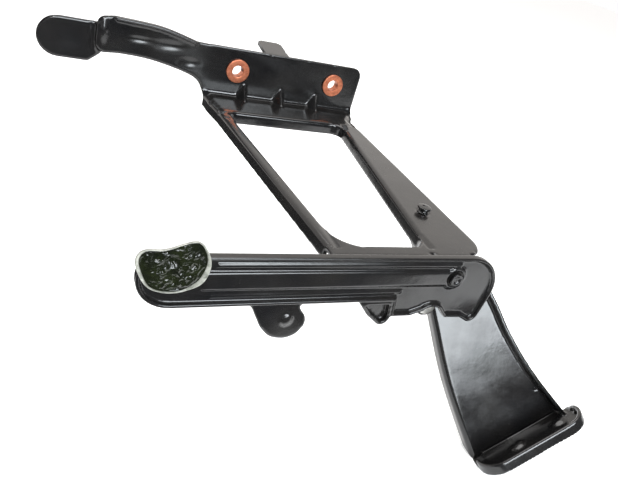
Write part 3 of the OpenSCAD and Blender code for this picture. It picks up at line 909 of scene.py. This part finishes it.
tabLow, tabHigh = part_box("rear_tab")
doublerLow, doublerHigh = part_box("pivot_doubler")
tabWelds = [[(x, headHigh.y, tabLow.z + 2 * mm), (x, headHigh.y, headHigh.z - 4 * mm)]
            for x in (tabLow.x, tabHigh.x)]
soleWeld = [legPlace @ Vector((x, sheet + 0.5 * mm, -legPlan["length"] + 0.4 * mm))
            for x in (-30 * mm, 24 * mm)]
rootWeld = [Vector((x, legRoot.y + 14 * mm - (x - 30 * mm) * 0.36, webTop - sheet))
            for x in (32 * mm, 56 * mm)]
doublerWelds = [[(doublerLow.x + 3 * mm, doublerLow.y, doublerHigh.z - 3 * mm),
                 (doublerLow.x + 8 * mm, doublerLow.y, doublerLow.z + 18 * mm)]]
weldBead("tabWelds", "frame", tabWelds, 4)
weldBead("legWelds", "frame", [soleWeld, rootWeld], 8)
weldBead("doublerWelds", "frame", doublerWelds, 15)
print("welds strung")


# CAD nodes that stay, with their finish

oilyNodes = ("pivot_washer", "back_washer", "arm_sleeve")
for name, node in nodes.items():
    if not node.hide_render:
        node.data.materials.clear()
        node.data.materials.append(oilyZinc if name in oilyNodes else enamel)


# floor, world and lights

stageSetup = {"floor": -0.177, "reach": 8.0, "paper": (0.9, 0.9, 0.9), "glow": 0.45,
              "cloth": (0.03, 0.03, 0.03), "front": (0.15, 0.15, 0.16), "behind": (1.2, 1.15, 1.1)}


def makeFloor(setup):
    bm = bmesh.new()
    bmesh.ops.create_grid(bm, x_segments=2, y_segments=2, size=setup["reach"])
    mesh = bpy.data.meshes.new("floor")
    bm.to_mesh(mesh)
    bm.free()
    mesh.transform(Matrix.Translation((0, 0, setup["floor"])))
    material, _, shader = newMaterial("palePaper", Roughness=0.85)
    shader.inputs["Base Color"].default_value = (*setup["paper"], 1)
    shader.inputs["Emission Color"].default_value = (1, 1, 1, 1)
    shader.inputs["Emission Strength"].default_value = setup["glow"]
    finished("floor", mesh, material)


makeFloor(stageSetup)


# A dark card on the floor that shows only in reflections, as parts of the room are dark
def darkCard(name, outline):
    bm = bmesh.new()
    bm.faces.new([bm.verts.new((x, y, stageSetup["floor"] + 1 * mm)) for x, y in outline])
    mesh = bpy.data.meshes.new(name)
    bm.to_mesh(mesh)
    bm.free()
    card = finished(name, mesh, blackCloth)
    card.visible_camera = card.visible_diffuse = card.visible_shadow = False


blackCloth, _, clothShader = newMaterial("blackCloth", Roughness=1.0)
clothShader.inputs["Base Color"].default_value = (*stageSetup["cloth"], 1)
darkCard("frontCard", [(-1.2, -3), (2.2, -3), (2.2, -0.62), (0.25, -0.5), (0.13, -0.44), (0.02, -0.385),
                       (-0.3, -0.30), (-1.2, -0.2)])
darkCard("sideCard", [(-1.5, -0.15), (-0.2, -0.12), (-0.06, 0.02), (-0.06, 0.8), (-1.5, 0.8)])


# Dim in front and bright behind, and plain white where the camera sees past the floor
def makeWorld(setup):
    world = bpy.data.worlds.new("studio")
    bpy.context.scene.world = world
    world.use_nodes = True
    tree = world.node_tree
    background = tree.nodes["Background"]
    way = addNode(tree, "ShaderNodeSeparateXYZ",
                  Vector=addNode(tree, "ShaderNodeTexCoord").outputs["Generated"])
    behind = remap(tree, way.outputs["Y"], -0.2, 0.55, 0, 1)
    shade = mixColors(tree, behind, setup["front"], setup["behind"])
    seen = addNode(tree, "ShaderNodeLightPath").outputs["Is Camera Ray"]
    tree.links.new(mixColors(tree, seen, shade, (1, 1, 1)), background.inputs["Color"])
    background.inputs["Strength"].default_value = 1.0


makeWorld(stageSetup)


def areaLight(name, spot, target, size, watts, color=(1, 1, 1), roll=0):
    data = bpy.data.lights.new(name, "AREA")
    data.shape = "RECTANGLE"
    data.size, data.size_y = size
    data.energy = watts
    data.color = color
    light = bpy.data.objects.new(name, data)
    bpy.context.scene.collection.objects.link(light)
    light.matrix_world = (Matrix.Translation(spot)
                          @ (Vector(target) - Vector(spot)).to_track_quat("-Z", "Y").to_matrix().to_4x4()
                          @ Matrix.Rotation(math.radians(roll), 4, "Z"))


areaLight("overheadBox", (-0.2, 0.3, 2.2), (0, 0, 0), (2.2, 2.2), 60)
areaLight("windowBox", (0.20, -1.5, 0.45), (0.07, -0.27, -0.08), (1.1, 0.5), 28, (0.90, 0.96, 1.0), 42)
areaLight("smallLamp", (-0.34, -1.15, 0.42), (-0.1, -0.25, 0), (0.07, 0.07), 3)
bpy.context.scene.view_settings.view_transform = "Standard"
print("stage set")
